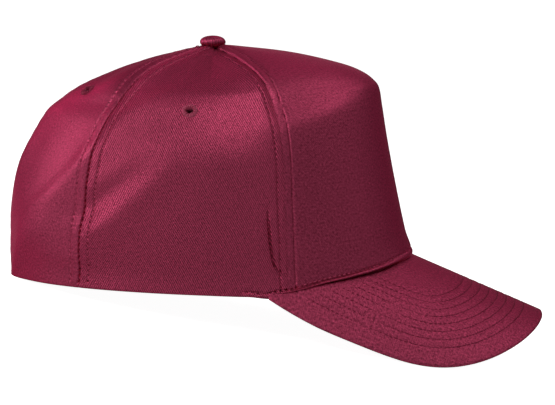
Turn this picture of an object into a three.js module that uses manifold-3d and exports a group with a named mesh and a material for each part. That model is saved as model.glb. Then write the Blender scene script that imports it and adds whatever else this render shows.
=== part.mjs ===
// A five panel cap with a curved peak, at its real size in millimetres.
//
// The cap is modelled in its worn frame: +X forward, +Y to the wearer's left, +Z up, with the
// button's axis at x = y = 0 and the back of the rim at z = 0. The group then tips it back until it
// lies by itself on the plane z = 0, on the two sides of the peak and the back of the rim.
//
// A place on the crown is an angle round the button's axis (0 at the front, positive to the left)
// and a share of the way up its profile (0 at the rim's height, 1 at the apex).
import * as THREE from "three";
import { mergeVertices } from "three/addons/utils/BufferGeometryUtils.js";
import Module from "manifold-3d";

const wasm = await Module();
wasm.setup();

const degrees = Math.PI / 180;

// Crown, outside sizes
const crownFront = 103.5; // button axis to the front of the rim
const crownBack = 102.7; // button axis to the back of the rim
const crownHalfWidth = 82;
const crownHeight = 117.5;
const wall = 1.6; // twill with its backing
const pieceGap = 0.3; // clearance between neighbouring pieces
const frontBlend = 1; // powers that fade the front and back profiles into the side profile
const backBlend = 2;

// Profile of the crown from the rim to the apex: reach as a share of the rim's reach in that
// direction, and height as a share of crownHeight.
const crownSections = [
  { frontReach: 1.0, frontHeight: 0.0, sideReach: 1.0, sideHeight: 0.0, backReach: 1.0, backHeight: 0.0 },
  { frontReach: 0.924, frontHeight: 0.283, sideReach: 0.976, sideHeight: 0.275, backReach: 1.0, backHeight: 0.283 },
  { frontReach: 0.86, frontHeight: 0.56, sideReach: 0.95, sideHeight: 0.527, backReach: 0.955, backHeight: 0.5 },
  { frontReach: 0.828, frontHeight: 0.735, sideReach: 0.88, sideHeight: 0.698, backReach: 0.837, backHeight: 0.7 },
  { frontReach: 0.816, frontHeight: 0.804, sideReach: 0.764, sideHeight: 0.797, backReach: 0.752, backHeight: 0.77 },
  { frontReach: 0.796, frontHeight: 0.839, sideReach: 0.68, sideHeight: 0.838, backReach: 0.66, backHeight: 0.825 },
  { frontReach: 0.7325, frontHeight: 0.8826, sideReach: 0.578, sideHeight: 0.875, backReach: 0.54, backHeight: 0.874 },
  { frontReach: 0.6145, frontHeight: 0.9217, sideReach: 0.42, sideHeight: 0.918, backReach: 0.4, backHeight: 0.92 },
  { frontReach: 0.359, frontHeight: 0.9696, sideReach: 0.22, sideHeight: 0.962, backReach: 0.2, backHeight: 0.963 },
  { frontReach: 0.0, frontHeight: 1.0, sideReach: 0.0, sideHeight: 1.0, backReach: 0.0, backHeight: 1.0 },
];

// Seams: the angle at the rim and the apex, and how far the seam bows at half its height
const frontSeam = { angle: 67.8 * degrees, bow: 0.3 * degrees };
const rearSeam = { angle: 131.1 * degrees, bow: -6.2 * degrees };
const backSeam = { angle: 180 * degrees, bow: 0 };
const panelPuff = 0.6; // how far a side or back panel swells between its seams

// Rim: a turned hem, with a roll along the peak
const rimBackHeight = 0.7; // the rim at the centre back, over the frame's origin
const rimDipPower = 2.4; // how late the rim falls on its way forward to the ends of the peak
const hemRound = 0.8; // how far the hem's lower edge turns in
const hemRoundHeight = 1.2;
const hemRoll = 0.5; // how far the roll above the peak stands out
const hemHeight = 3.4; // rim to the hem's line of stitches

// Soft folds low on each side: a ridge between two shallow valleys, or a single valley
const folds = [
  { fromAngle: 129, fromHeight: 0.22, toAngle: 100, toHeight: 0.52, halfWidth: 9, rise: 1.5, valleys: 1 },
  { fromAngle: 168, fromHeight: 0.2, toAngle: 128, toHeight: 0.42, halfWidth: 12, rise: -1.1, valleys: 0 },
];

// Peak: an elliptical arch whose rulings slope down from the crown
const peakSlope = 23.5 * degrees;
const peakRootReach = 101.2; // the ridge's start, ahead of the button's axis
const peakRootHeight = 10.7;
const peakArchHalfWidth = 95; // half axes of the arch's section
const peakArchDepth = 92.7;
const peakLength = 72.6; // ridge, from the crown to the tip
const peakHalfWidth = 81;
const peakBellyShare = 0.31; // where the peak is widest, behind its root, as a share of peakLength
const peakFrontPower = 3.7; // powers of the outline's superellipse, along and across
const peakSidePower = 2.45;
const peakThickness = 3;
const peakEdgeThickness = 1.5;
const peakEdgeRound = 1.1; // inset where the edge starts to thin
const peakEndAngle = 73 * degrees; // where the peak's corners meet the rim
const peakEndFade = 8 * degrees; // over which the rim leaves the line of the peak behind its corners
const peakCornerShare = 0.07; // of the way round the peak, over which its corners thin out

// Button and eyelets
const buttonRadius = 6.5;
const buttonHeight = 4.5;
const buttonStemRadius = 1.9;
const buttonRivetRadius = 4.5;
const buttonRivetThickness = 0.9;
const eyeletRadius = 3.9;
const eyeletHoleRadius = 2;
const eyeletThroatRadius = 2.7;
const eyeletThickness = 0.8;
const eyeletSag = 0.6; // how far the curved cloth falls away under a ring's flat face
const sideEyelet = { across: 0.5, up: 0.377 };
const backEyelet = { across: 0.5, up: 0.535 };

const backFlat = 0.6; // how far the soft rim is pressed flat where it rests

// Mesh resolution
const panelRows = 18;
const frontColumns = 32;
const sideColumns = 20;
const backColumns = 15;
const peakColumns = 44;
const peakRows = 7;
const roundSegments = 24;
const eyeletSegments = 16;
const searchSteps = 40;

const cloth = (name) => {
  const material = new THREE.MeshStandardMaterial({ color: 0x7a2240, roughness: 0.85, metalness: 0 });
  material.name = name;
  return material;
};

const mix = (a, b, share) => a + (b - a) * share;

// The root of a rising function between two values
function rootBetween(low, high, risingFunction) {
  for (let step = 0; step < searchSteps; step++) {
    const middle = (low + high) / 2;
    if (risingFunction(middle) < 0) low = middle;
    else high = middle;
  }
  return (low + high) / 2;
}

const profileCache = new Map();

// Profile curve of the crown in one direction, as reach and height shares
function crownProfile(angle) {
  if (!profileCache.has(angle)) {
    const ahead = Math.cos(angle);
    const front = Math.max(ahead, 0) ** frontBlend;
    const back = Math.max(-ahead, 0) ** backBlend;
    const side = 1 - front - back;
    const points = crownSections.map(
      (row) =>
        new THREE.Vector2(
          front * row.frontReach + side * row.sideReach + back * row.backReach,
          front * row.frontHeight + side * row.sideHeight + back * row.backHeight,
        ),
    );
    profileCache.set(angle, new THREE.SplineCurve(points));
  }
  return profileCache.get(angle);
}

// The crown's outer surface without its relief. Below the rim it carries straight on.
function bareCrown(angle, up) {
  const curve = crownProfile(angle);
  const place = curve.getPoint(Math.max(up, 0));
  if (up < 0) {
    const small = 0.01;
    place.lerp(curve.getPoint(small), up / small);
  }
  const reach = Math.cos(angle) > 0 ? crownFront : crownBack;
  return new THREE.Vector3(
    reach * Math.cos(angle) * place.x,
    crownHalfWidth * Math.sin(angle) * place.x,
    crownHeight * place.y,
  );
}

function bareNormal(angle, up) {
  const step = 1e-3;
  const alongRim = bareCrown(angle + step, up).sub(bareCrown(angle - step, up));
  const alongProfile = bareCrown(angle, up + step).sub(bareCrown(angle, up - step));
  return alongRim.cross(alongProfile).normalize();
}

const seamAngle = (seam, up) => seam.angle + seam.bow * Math.sin(Math.PI * THREE.MathUtils.clamp(up, 0, 1));

// How far a side or back panel swells at a place: nothing on its seams, the rim and the apex
function puffAt(angle, up) {
  const turn = Math.abs(angle);
  const front = seamAngle(frontSeam, up);
  const rear = seamAngle(rearSeam, up);
  if (turn < front) return 0;
  const [from, to] = turn > rear ? [rear, backSeam.angle] : [front, rear];
  const across = (turn - from) / (to - from);
  return panelPuff * Math.sin(Math.PI * across) * Math.sin(Math.PI * THREE.MathUtils.clamp(up, 0, 1));
}

// Height of a fold at a place on the crown, by its distance from the fold's crest
function foldAt(fold, turn, height) {
  const lengthPerRadian = (crownFront + crownHalfWidth) / 2;
  const crest = new THREE.Vector2(
    (fold.toAngle - fold.fromAngle) * degrees * lengthPerRadian,
    (fold.toHeight - fold.fromHeight) * crownHeight,
  );
  const here = new THREE.Vector2(
    (turn - fold.fromAngle * degrees) * lengthPerRadian,
    height - fold.fromHeight * crownHeight,
  );
  const along = here.dot(crest) / crest.lengthSq();
  const across = here.cross(crest) / crest.length() / fold.halfWidth;
  const fade = Math.exp(-((2 * along - 1) ** 4));
  return fold.rise * fade * (1 - 2 * fold.valleys * across ** 2) * Math.exp(-(across ** 2));
}

function reliefAt(angle, up) {
  const turn = Math.abs(angle);
  const height = bareCrown(angle, up).z;
  return folds.reduce((sum, fold) => sum + foldAt(fold, turn, height), puffAt(angle, up));
}

// Turned lower edge and roll of the hem, by the height above the rim
function hemRelief(angle, aboveRim) {
  const round = -hemRound * Math.max(1 - aboveRim / hemRoundHeight, 0) ** 2;
  const frontShare = THREE.MathUtils.smoothstep(peakEndAngle - Math.abs(angle), -0.05, 0.1);
  const roll = hemRoll * frontShare * Math.sin(Math.PI * Math.min(aboveRim / hemHeight, 1));
  return round + roll;
}

// A point of the crown. Depth is measured inwards from the outer surface.
function crownPoint(angle, up, depth, aboveRim = hemHeight) {
  const lift = reliefAt(angle, up) + hemRelief(angle, aboveRim) - depth;
  return bareCrown(angle, up).addScaledVector(bareNormal(angle, up), lift);
}

// The peak's surface. Along is measured down the ridge from the crown, across from the ridge.
function peakPoint(along, across, depth) {
  const turn = Math.asin(THREE.MathUtils.clamp(across / peakArchHalfWidth, -1, 1));
  const fall = peakArchDepth * (1 - Math.cos(turn));
  const ruling = new THREE.Vector3(Math.cos(peakSlope), 0, -Math.sin(peakSlope));
  const upward = new THREE.Vector3(Math.sin(peakSlope), 0, Math.cos(peakSlope));
  const sideways = new THREE.Vector3(0, 1, 0);
  const normal = upward
    .clone()
    .multiplyScalar(peakArchHalfWidth * Math.cos(turn))
    .addScaledVector(sideways, peakArchDepth * Math.sin(turn))
    .normalize();
  return new THREE.Vector3(peakRootReach, 0, peakRootHeight)
    .addScaledVector(ruling, along)
    .addScaledVector(upward, -fall)
    .addScaledVector(sideways, across)
    .addScaledVector(normal, -depth);
}

// Height of the peak's top face over a place, on the arch carried on behind the root
function peakHeightAt(x, y) {
  const share = Math.min(Math.abs(y) / peakArchHalfWidth, 1);
  const fall = peakArchDepth * (1 - Math.sqrt(1 - share ** 2));
  return peakRootHeight - (x - peakRootReach) * Math.tan(peakSlope) - fall / Math.cos(peakSlope);
}

// The rim: it follows the peak's arch across the front, and dips from the back to the arch's ends
function rimHeightAt(angle, x, y) {
  const turn = Math.abs(angle);
  const overPeak = peakHeightAt(x, y) + pieceGap;
  if (turn < peakEndAngle) return overPeak;
  const endX = crownFront * Math.cos(peakEndAngle);
  const endY = crownHalfWidth * Math.sin(peakEndAngle);
  const share = (Math.PI - turn) / (Math.PI - peakEndAngle);
  const free = mix(rimBackHeight, peakHeightAt(endX, endY) + pieceGap, share ** rimDipPower);
  return mix(overPeak, free, THREE.MathUtils.smoothstep(turn, peakEndAngle, peakEndAngle + peakEndFade));
}

function rimUp(angle, depth) {
  return rootBetween(-0.1, 0.5, (up) => {
    const point = crownPoint(angle, up, depth, depth > 0 ? hemHeight : 0);
    return point.z - rimHeightAt(angle, point.x, point.y);
  });
}

// The profile share at which the crown ends, round the button's stem
function topUp(angle) {
  const holeRadius = buttonStemRadius + 2 * pieceGap;
  return rootBetween(0.6, 1, (up) => {
    const point = bareCrown(angle, up);
    return holeRadius - Math.hypot(point.x, point.y);
  });
}

// A closed shell between two grids of points, each given by column and row
function closedShell(columns, rows, outerAt, innerAt) {
  const positions = [];
  const index = [];
  const count = (columns + 1) * (rows + 1);
  const at = (layer, column, row) => layer * count + row * (columns + 1) + column;
  const quad = (a, b, c, d) => index.push(a, b, c, a, c, d);
  for (const pointAt of [outerAt, innerAt]) {
    for (let row = 0; row <= rows; row++) {
      for (let column = 0; column <= columns; column++) positions.push(...pointAt(column, row).toArray());
    }
  }
  for (let row = 0; row < rows; row++) {
    for (let column = 0; column < columns; column++) {
      const next = column + 1;
      quad(at(0, column, row), at(0, next, row), at(0, next, row + 1), at(0, column, row + 1));
      quad(at(1, column, row + 1), at(1, next, row + 1), at(1, next, row), at(1, column, row));
    }
    quad(at(0, 0, row + 1), at(1, 0, row + 1), at(1, 0, row), at(0, 0, row));
    quad(at(0, columns, row), at(1, columns, row), at(1, columns, row + 1), at(0, columns, row + 1));
  }
  for (let column = 0; column < columns; column++) {
    const next = column + 1;
    quad(at(0, column, 0), at(1, column, 0), at(1, next, 0), at(0, next, 0));
    quad(at(0, next, rows), at(1, next, rows), at(1, column, rows), at(0, column, rows));
  }
  const geometry = new THREE.BufferGeometry();
  geometry.setAttribute("position", new THREE.Float32BufferAttribute(positions, 3));
  geometry.setIndex(index);
  return geometry;
}

// The angle of a panel's side edge, half a gap away from the seam
function edgeAngle(seam, sign, inward, up) {
  const angle = sign * seamAngle(seam, up);
  const plan = bareCrown(angle, up);
  return angle + (inward * pieceGap) / 2 / Math.hypot(plan.x, plan.y);
}

// One panel of the crown between two seams, given from the lower angle to the higher
function panelGeometry({ from, to, columns }) {
  const pointAt = (depth) => (column, row) => {
    const across = column / columns;
    const angleAt = (up) => mix(edgeAngle(from.seam, from.sign, 1, up), edgeAngle(to.seam, to.sign, -1, up), across);
    const rimAngle = angleAt(0);
    const low = rimUp(rimAngle, depth);
    const upPerLength = 0.01 / bareCrown(rimAngle, low + 0.01).distanceTo(bareCrown(rimAngle, low));
    const hemHeights = [0, hemRoundHeight, hemHeight];
    if (row < hemHeights.length) {
      const up = low + hemHeights[row] * upPerLength;
      return crownPoint(angleAt(up), up, depth, depth > 0 ? hemHeight : hemHeights[row]);
    }
    const share = (row - hemHeights.length + 1) / (panelRows - hemHeights.length + 1);
    const up = mix(low + hemHeight * upPerLength, topUp(rimAngle), share);
    return crownPoint(angleAt(up), up, depth);
  };
  return closedShell(columns, panelRows, pointAt(0), pointAt(wall));
}

function solidFrom(geometry) {
  const bare = geometry.clone();
  bare.deleteAttribute("normal");
  bare.deleteAttribute("uv");
  const merged = mergeVertices(bare, 1e-4);
  return new wasm.Manifold(
    new wasm.Mesh({
      numProp: 3,
      vertProperties: new Float32Array(merged.attributes.position.array),
      triVerts: new Uint32Array(merged.index.array),
    }),
  );
}

function geometryFrom(solid) {
  const { vertProperties, triVerts } = solid.getMesh();
  const geometry = new THREE.BufferGeometry();
  geometry.setAttribute("position", new THREE.BufferAttribute(vertProperties, 3));
  geometry.setIndex(new THREE.BufferAttribute(triVerts, 1));
  geometry.computeVertexNormals();
  return geometry;
}

// A frame on the crown whose +Y points straight out of the surface
function crownFrame(angle, up) {
  const normal = bareNormal(angle, up);
  const turn = new THREE.Quaternion().setFromUnitVectors(new THREE.Vector3(0, 1, 0), normal);
  return new THREE.Matrix4().compose(crownPoint(angle, up, 0), turn, new THREE.Vector3(1, 1, 1));
}

function eyeletPlace(panel, eyelet) {
  const from = panel.from.sign * seamAngle(panel.from.seam, eyelet.up);
  const to = panel.to.sign * seamAngle(panel.to.seam, eyelet.up);
  return crownFrame(mix(from, to, eyelet.across), eyelet.up);
}

const profile = (pairs) => pairs.map(([radius, height]) => new THREE.Vector2(radius, height));

// A stitched ring that wraps the edge of its hole and shows on both faces of the cloth
function eyeletGeometry() {
  const outside = pieceGap;
  const inside = -wall - pieceGap - eyeletSag;
  const round = eyeletThickness / 2;
  const loop = profile([
    [eyeletHoleRadius, inside - round],
    [eyeletHoleRadius + round, inside - eyeletThickness],
    [eyeletRadius - round, inside - eyeletThickness],
    [eyeletRadius, inside],
    [eyeletThroatRadius, inside],
    [eyeletThroatRadius, outside],
    [eyeletRadius, outside],
    [eyeletRadius - round, outside + eyeletThickness],
    [eyeletHoleRadius + round, outside + eyeletThickness],
    [eyeletHoleRadius, outside + round],
    [eyeletHoleRadius, inside - round],
  ]);
  return new THREE.LatheGeometry(loop, eyeletSegments);
}

// The covered button, its stem and the rivet that holds it from inside, on the button's axis
function buttonGeometry() {
  const seat = crownHeight + pieceGap / 2;
  const brim = crownHeight - pieceGap;
  const rivetTop = crownHeight - wall - 3 * pieceGap;
  const rivetEdge = rivetTop - 2 * pieceGap;
  const middle = mix(brim, crownHeight + buttonHeight, 0.42);
  const dome = [];
  const domeSteps = 6;
  for (let step = 0; step <= domeSteps; step++) {
    const turn = (step / domeSteps) * (Math.PI / 2);
    dome.push([buttonRadius * Math.cos(turn) ** 0.8, mix(middle, crownHeight + buttonHeight, Math.sin(turn))]);
  }
  dome[domeSteps][0] = 0;
  return new THREE.LatheGeometry(
    profile([
      [0, rivetEdge - buttonRivetThickness],
      [buttonRivetRadius, rivetEdge - buttonRivetThickness],
      [buttonRivetRadius, rivetEdge],
      [buttonStemRadius, rivetTop],
      [buttonStemRadius, seat],
      [buttonRadius * 0.83, brim],
      [buttonRadius * 0.95, mix(brim, middle, 0.4)],
      ...dome,
    ]),
    roundSegments,
  );
}

// Ridge distance of a place on the peak's top face
function ridgeDistance(x, y) {
  const height = peakHeightAt(x, y) - peakRootHeight;
  return (x - peakRootReach) * Math.cos(peakSlope) - height * Math.sin(peakSlope);
}

// The peak's inner edge, under the inside of the crown's wall, by share of the way round it
function peakRoot(share) {
  const angle = mix(-peakEndAngle, peakEndAngle, share);
  const { x, y } = crownPoint(angle, rimUp(angle, wall), wall);
  return new THREE.Vector2(ridgeDistance(x, y), y);
}

// The peak's outline, from its right corner round the tip to the left, as evenly spaced points
function peakOutline() {
  const belly = -peakBellyShare * peakLength;
  const reach = peakLength - belly;
  const corner = crownPoint(peakEndAngle, rimUp(peakEndAngle, 0), 0);
  const cornerAlong = ridgeDistance(corner.x, corner.y);
  const points = [];
  const sideSteps = 8;
  const frontSteps = 80;
  for (let step = 0; step < sideSteps; step++) {
    const share = 1 - step / sideSteps;
    points.push(new THREE.Vector2(mix(belly, cornerAlong, share), -mix(peakHalfWidth, corner.y, share ** 2)));
  }
  for (let step = 0; step <= frontSteps; step++) {
    const turn = mix(-Math.PI / 2, Math.PI / 2, step / frontSteps);
    const along = Math.abs(Math.cos(turn)) ** (2 / peakFrontPower);
    const across = Math.abs(Math.sin(turn)) ** (2 / peakSidePower);
    points.push(new THREE.Vector2(belly + reach * along, peakHalfWidth * Math.sign(turn) * across));
  }
  for (let step = sideSteps - 1; step >= 0; step--) {
    points.push(new THREE.Vector2(points[step].x, -points[step].y));
  }
  const path = new THREE.CurvePath();
  for (let i = 1; i < points.length; i++) {
    if (points[i].distanceTo(points[i - 1]) > 1e-6) path.add(new THREE.LineCurve(points[i - 1], points[i]));
  }
  return path;
}

// The peak: a board in cloth, thinned to a round edge, running in under the crown's wall
function peakGeometry() {
  const outline = peakOutline();
  const place = (column, row) => {
    const share = column / peakColumns;
    const start = peakRoot(share);
    const end = outline.getPointAt(share);
    const span = start.distanceTo(end);
    const innerRows = peakRows - 1;
    const inset = Math.min(peakEdgeRound, span / 4) / span;
    return start.lerp(end, row < peakRows ? (row / innerRows) * (1 - inset) : 1);
  };
  const depthAt = (column, row, under) => {
    const fromCorner = Math.min(column, peakColumns - column) / peakColumns;
    const full = THREE.MathUtils.smoothstep(fromCorner, 0, peakCornerShare);
    const thickness = mix(peakEdgeThickness, peakThickness, full);
    const thinning = row === peakRows ? (thickness - peakEdgeThickness) / 2 : 0;
    return under ? thickness - thinning : thinning;
  };
  const faceAt = (under) => (column, row) => {
    const { x, y } = place(column, row);
    return peakPoint(x, y, depthAt(column, row, under));
  };
  return closedShell(peakColumns, peakRows, faceAt(true), faceAt(false));
}

// How the cap lies on the ground: the pitch that brings the peak and the back of the rim level
function restingPlace(peak, backRim) {
  const lowest = (points, pitch) =>
    Math.min(...points.map((point) => point.x * Math.sin(pitch) + point.z * Math.cos(pitch)));
  const pitch = rootBetween(0, 30 * degrees, (angle) => lowest(peak, angle) - lowest(backRim, angle) - backFlat);
  return { pitch, drop: lowest(peak, pitch) };
}

function verticesOf(geometry) {
  const position = geometry.getAttribute("position");
  return Array.from({ length: position.count }, (_, i) => new THREE.Vector3().fromBufferAttribute(position, i));
}

const right = (seam) => ({ seam, sign: -1 });
const left = (seam) => ({ seam, sign: 1 });
const panels = {
  front_panel: { from: right(frontSeam), to: left(frontSeam), columns: frontColumns },
  side_panel_left: { from: left(frontSeam), to: left(rearSeam), columns: sideColumns, eyelet: sideEyelet },
  side_panel_right: { from: right(rearSeam), to: right(frontSeam), columns: sideColumns, eyelet: sideEyelet },
  back_panel_left: { from: left(rearSeam), to: left(backSeam), columns: backColumns, eyelet: backEyelet },
  back_panel_right: { from: right(backSeam), to: right(rearSeam), columns: backColumns, eyelet: backEyelet },
};

const peak = peakGeometry();
const backRim = verticesOf(panelGeometry(panels.back_panel_left));
const rest = restingPlace(verticesOf(peak), backRim);

const cap = new THREE.Group();
cap.rotation.y = -rest.pitch;
cap.position.z = -rest.drop;
cap.updateMatrixWorld(true);

const add = (name, geometry) => {
  const mesh = new THREE.Mesh(geometry, cloth(name));
  mesh.name = name;
  cap.add(mesh);
  return mesh;
};

// What the ground presses flat, as a slab under the plane z = 0
const slabSize = 4 * (crownFront + peakLength);
const slab = new THREE.BoxGeometry(slabSize, slabSize, slabSize);
slab.translate(0, 0, -slabSize / 2);
slab.applyMatrix4(cap.matrixWorld.clone().invert());
const ground = solidFrom(slab);

const eyeletHole = new THREE.CylinderGeometry(
  eyeletThroatRadius + pieceGap,
  eyeletThroatRadius + pieceGap,
  6 * wall,
  eyeletSegments,
);

for (const [name, panel] of Object.entries(panels)) {
  let solid = solidFrom(panelGeometry(panel));
  if (name.startsWith("back_panel")) solid = solid.subtract(ground);
  if (panel.eyelet) {
    const frame = eyeletPlace(panel, panel.eyelet);
    solid = solid.subtract(solidFrom(eyeletHole.clone().applyMatrix4(frame)));
    const ring = add(name.replace("panel", "eyelet"), eyeletGeometry());
    ring.applyMatrix4(frame);
  }
  add(name, geometryFrom(solid));
}
add("peak", peak);
const button = add("top_button", buttonGeometry());
button.rotation.x = Math.PI / 2;

// The middle of the cap's footprint is the origin
const bounds = new THREE.Box3().setFromObject(cap, true);
const centre = bounds.getCenter(new THREE.Vector3());
cap.position.x -= centre.x;
cap.position.y -= centre.y;

const part = new THREE.Group();
part.add(cap);

export default part;
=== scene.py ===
"""A five panel cap of satin-faced twill with a curved peak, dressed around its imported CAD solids."""
import math

import bpy
import numpy as np
from mathutils import Matrix, Vector


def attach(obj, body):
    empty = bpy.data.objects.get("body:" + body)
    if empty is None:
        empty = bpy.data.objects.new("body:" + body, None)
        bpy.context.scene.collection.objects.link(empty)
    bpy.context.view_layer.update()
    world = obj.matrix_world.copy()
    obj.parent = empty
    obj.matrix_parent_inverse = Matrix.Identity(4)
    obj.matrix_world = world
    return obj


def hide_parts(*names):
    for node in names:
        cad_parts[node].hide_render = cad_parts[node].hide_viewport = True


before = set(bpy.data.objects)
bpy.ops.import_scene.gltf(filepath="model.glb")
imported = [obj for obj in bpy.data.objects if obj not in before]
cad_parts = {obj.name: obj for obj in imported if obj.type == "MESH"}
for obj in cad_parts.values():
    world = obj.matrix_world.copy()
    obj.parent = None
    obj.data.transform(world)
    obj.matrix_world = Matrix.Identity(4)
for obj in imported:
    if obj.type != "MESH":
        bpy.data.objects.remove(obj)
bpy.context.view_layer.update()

# The cap's own sizes, in millimetres, in the frame of a worn cap: +X ahead, +Y the wearer's left.
MM = 0.001
REST_PITCH = math.radians(10.493689)
REST_SHIFT_X = -30.2147
REST_SHIFT_Z = 17.2711

CROWN_FRONT = 103.5
CROWN_BACK = 102.7
CROWN_HALF_WIDTH = 82.0
CROWN_HEIGHT = 117.5
CROWN_MEAN_RADIUS = (CROWN_FRONT + CROWN_HALF_WIDTH) / 2
WALL = 1.6
PIECE_GAP = 0.3
HEM_GAP = 1.1
HEM_GAP_START = math.radians(12)
HEM_GAP_FULL = math.radians(32)
FRONT_SECTION = np.array([
    (1.0, 0.0), (0.924, 0.283), (0.86, 0.56), (0.828, 0.735), (0.816, 0.804),
    (0.796, 0.839), (0.7325, 0.8826), (0.6145, 0.9217), (0.359, 0.9696), (0.0, 1.0)])
SIDE_SECTION = np.array([
    (1.0, 0.0), (0.976, 0.275), (0.95, 0.527), (0.88, 0.698), (0.764, 0.797),
    (0.68, 0.838), (0.578, 0.875), (0.42, 0.918), (0.22, 0.962), (0.0, 1.0)])
BACK_SECTION = np.array([
    (1.0, 0.0), (1.0, 0.283), (0.955, 0.5), (0.837, 0.7), (0.752, 0.77),
    (0.66, 0.825), (0.54, 0.874), (0.4, 0.92), (0.2, 0.963), (0.0, 1.0)])

FRONT_SEAM = 67.8
FRONT_SEAM_BOW = 0.3
REAR_SEAM = 131.1
REAR_SEAM_BOW = -6.2
BACK_SEAM = 180.0
FRONT_STITCH_LINE = 3.9
REAR_STITCH_LINE = 5.5
SEAM_PULL_PITCH = 3.1
STITCH_PITCH = 2.7
STITCH_LENGTH = 1.9
STITCH_THICKNESS = 0.25
PANEL_PUFF = 0.6

RIM_BACK_HEIGHT = 0.7
RIM_DIP_POWER = 2.4
PEAK_SLOPE = math.radians(23.5)
PEAK_ROOT_REACH = 101.2
PEAK_ROOT_HEIGHT = 10.7
ARCH_HALF_WIDTH = 95.0
ARCH_DEPTH = 92.7
PEAK_LENGTH = 72.6
PEAK_HALF_WIDTH = 81.0
PEAK_BELLY_SHARE = 0.31
PEAK_FRONT_POWER = 3.7
PEAK_SIDE_POWER = 2.45
PEAK_THICKNESS = 3.0
PEAK_EDGE_THICKNESS = 1.5
PEAK_EDGE_ROUND = 1.1
PEAK_END = math.radians(74)
PEAK_END_FADE = math.radians(8)
PEAK_CORNER_SHARE = 0.07
ROOT_LIFT = np.array([0, 0, 0, -0.2, -0.4, 0.2, 1.1, 1.5, -0.9, -0.9])
ROOT_LIFT_REACH = 90.0
ROOT_LIFT_FADE = 26.0
PEAK_ROW_COUNT = 8
PEAK_ROW_INSET = 10.6
PEAK_ROW_SPACING = 4.8
PEAK_STITCH_PITCH = 2.6
PEAK_STITCH_LENGTH = 1.9

SIDE_EYELET_UP = 0.377
BACK_EYELET_UP = 0.535
EYELET_RADIUS = 3.9
EYELET_HOLE = 1.75
EYELET_CUT_RADIUS = 2.9
EYELET_LOBES = 15
# The eyelet's outline: radius, height above the cloth, and how much its threads show.
EYELET_OUTLINE = (
    (EYELET_RADIUS + 0.35, -0.75, 0.2), (EYELET_RADIUS + 0.1, -0.1, 0.8),
    (EYELET_RADIUS - 0.3, 0.42, 1.0), (EYELET_RADIUS - 0.8, 0.66, 1.0),
    (EYELET_RADIUS - 1.3, 0.62, 1.0), (EYELET_HOLE + 0.25, 0.3, 1.0),
    (EYELET_HOLE, -0.3, 0.8), (EYELET_HOLE, -1.2, 0.4),
    (EYELET_HOLE + 0.1, -2.1, 0.2), (EYELET_HOLE + 0.7, -2.6, 0.2),
    (EYELET_RADIUS - 0.4, -2.7, 0.2), (EYELET_RADIUS, -2.3, 0.2),
)

BUTTON_RADIUS = 6.5
# The button's outline: height above the crown's top, and its share of the button's radius.
BUTTON_OUTLINE = (
    (-1.6, 0.66), (-1.0, 0.78), (-0.5, 0.87), (0.0, 0.94), (0.5, 0.985), (1.1, 1.01), (1.7, 1.0),
    (2.3, 0.96), (2.9, 0.89), (3.4, 0.79), (3.85, 0.64), (4.2, 0.46), (4.4, 0.28), (4.48, 0.12),
    (4.5, 0.02),
)

TOP_UP = 0.988
FLOOR_CLEARANCE = 0.00005
SMALL_STEP = 1e-3
# The lowest share of the crown's sections, whose slope runs on below them.
SECTION_FOOT = 0.01
UV_MILLIMETRES = 100.0


def to_row(points):
    """Turns millimetres in the worn frame into metres in the row frame."""
    cos, sin = math.cos(REST_PITCH), math.sin(REST_PITCH)
    x = cos * points[..., 0] - sin * points[..., 2] + REST_SHIFT_X
    z = sin * points[..., 0] + cos * points[..., 2] + REST_SHIFT_Z
    return np.stack([x, points[..., 1], z], -1) * MM


def turn_to_row(direction):
    """Turns a direction from the worn frame into the row frame."""
    cos, sin = math.cos(REST_PITCH), math.sin(REST_PITCH)
    x, y, z = direction
    return Vector((cos * x - sin * z, y, sin * x + cos * z))


def ease(value, low, high):
    """0 up to low, 1 from high on, and a smooth rise between."""
    share = np.clip((value - low) / (high - low), 0, 1)
    return share * share * (3 - 2 * share)


def bell(distance, width):
    return np.exp(-(distance / width) ** 2)


def norm(vectors):
    return np.linalg.norm(vectors, axis=-1)


def unit(vectors):
    return vectors / norm(vectors)[..., None]


def gone_along(line):
    """Distances along a polyline from its start."""
    return np.concatenate([[0], np.cumsum(norm(np.diff(line, axis=0)))])


# The crown's smooth surface, by the angle round it (0 ahead, radians) and the share of its height.

def spline(points, share):
    last = len(points) - 1
    along = last * np.clip(share, 0, 1)
    cell = np.minimum(along.astype(int), last - 1)
    step = (along - cell)[..., None]
    start, end = points[cell], points[cell + 1]
    slope_start = (end - points[np.maximum(cell - 1, 0)]) / 2
    slope_end = (points[np.minimum(cell + 2, last)] - start) / 2
    return ((2 * start - 2 * end + slope_start + slope_end) * step ** 3
            + (3 * end - 3 * start - 2 * slope_start - slope_end) * step ** 2
            + slope_start * step + start)


def section(points, share):
    inside = spline(points, share)
    low, high = spline(points, np.array([0.0, SECTION_FOOT]))
    below = np.minimum(share, 0)[..., None] * (high - low) / SECTION_FOOT
    return inside + below


def crown(angle, up):
    angle, up = np.broadcast_arrays(np.asarray(angle, float), np.asarray(up, float))
    ahead = np.cos(angle)
    front = np.maximum(ahead, 0)
    back = np.maximum(-ahead, 0) ** 2
    side = 1 - front - back
    parts = (front[..., None] * section(FRONT_SECTION, up)
             + side[..., None] * section(SIDE_SECTION, up)
             + back[..., None] * section(BACK_SECTION, up))
    reach = np.where(ahead > 0, CROWN_FRONT, CROWN_BACK)
    return np.stack([reach * ahead * parts[..., 0],
                     CROWN_HALF_WIDTH * np.sin(angle) * parts[..., 0],
                     CROWN_HEIGHT * parts[..., 1]], -1)


def crown_slopes(angle, up):
    around = (crown(angle + SMALL_STEP, up) - crown(angle - SMALL_STEP, up)) / (2 * SMALL_STEP)
    rising = (crown(angle, up + SMALL_STEP) - crown(angle, up - SMALL_STEP)) / (2 * SMALL_STEP)
    return around, rising


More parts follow.
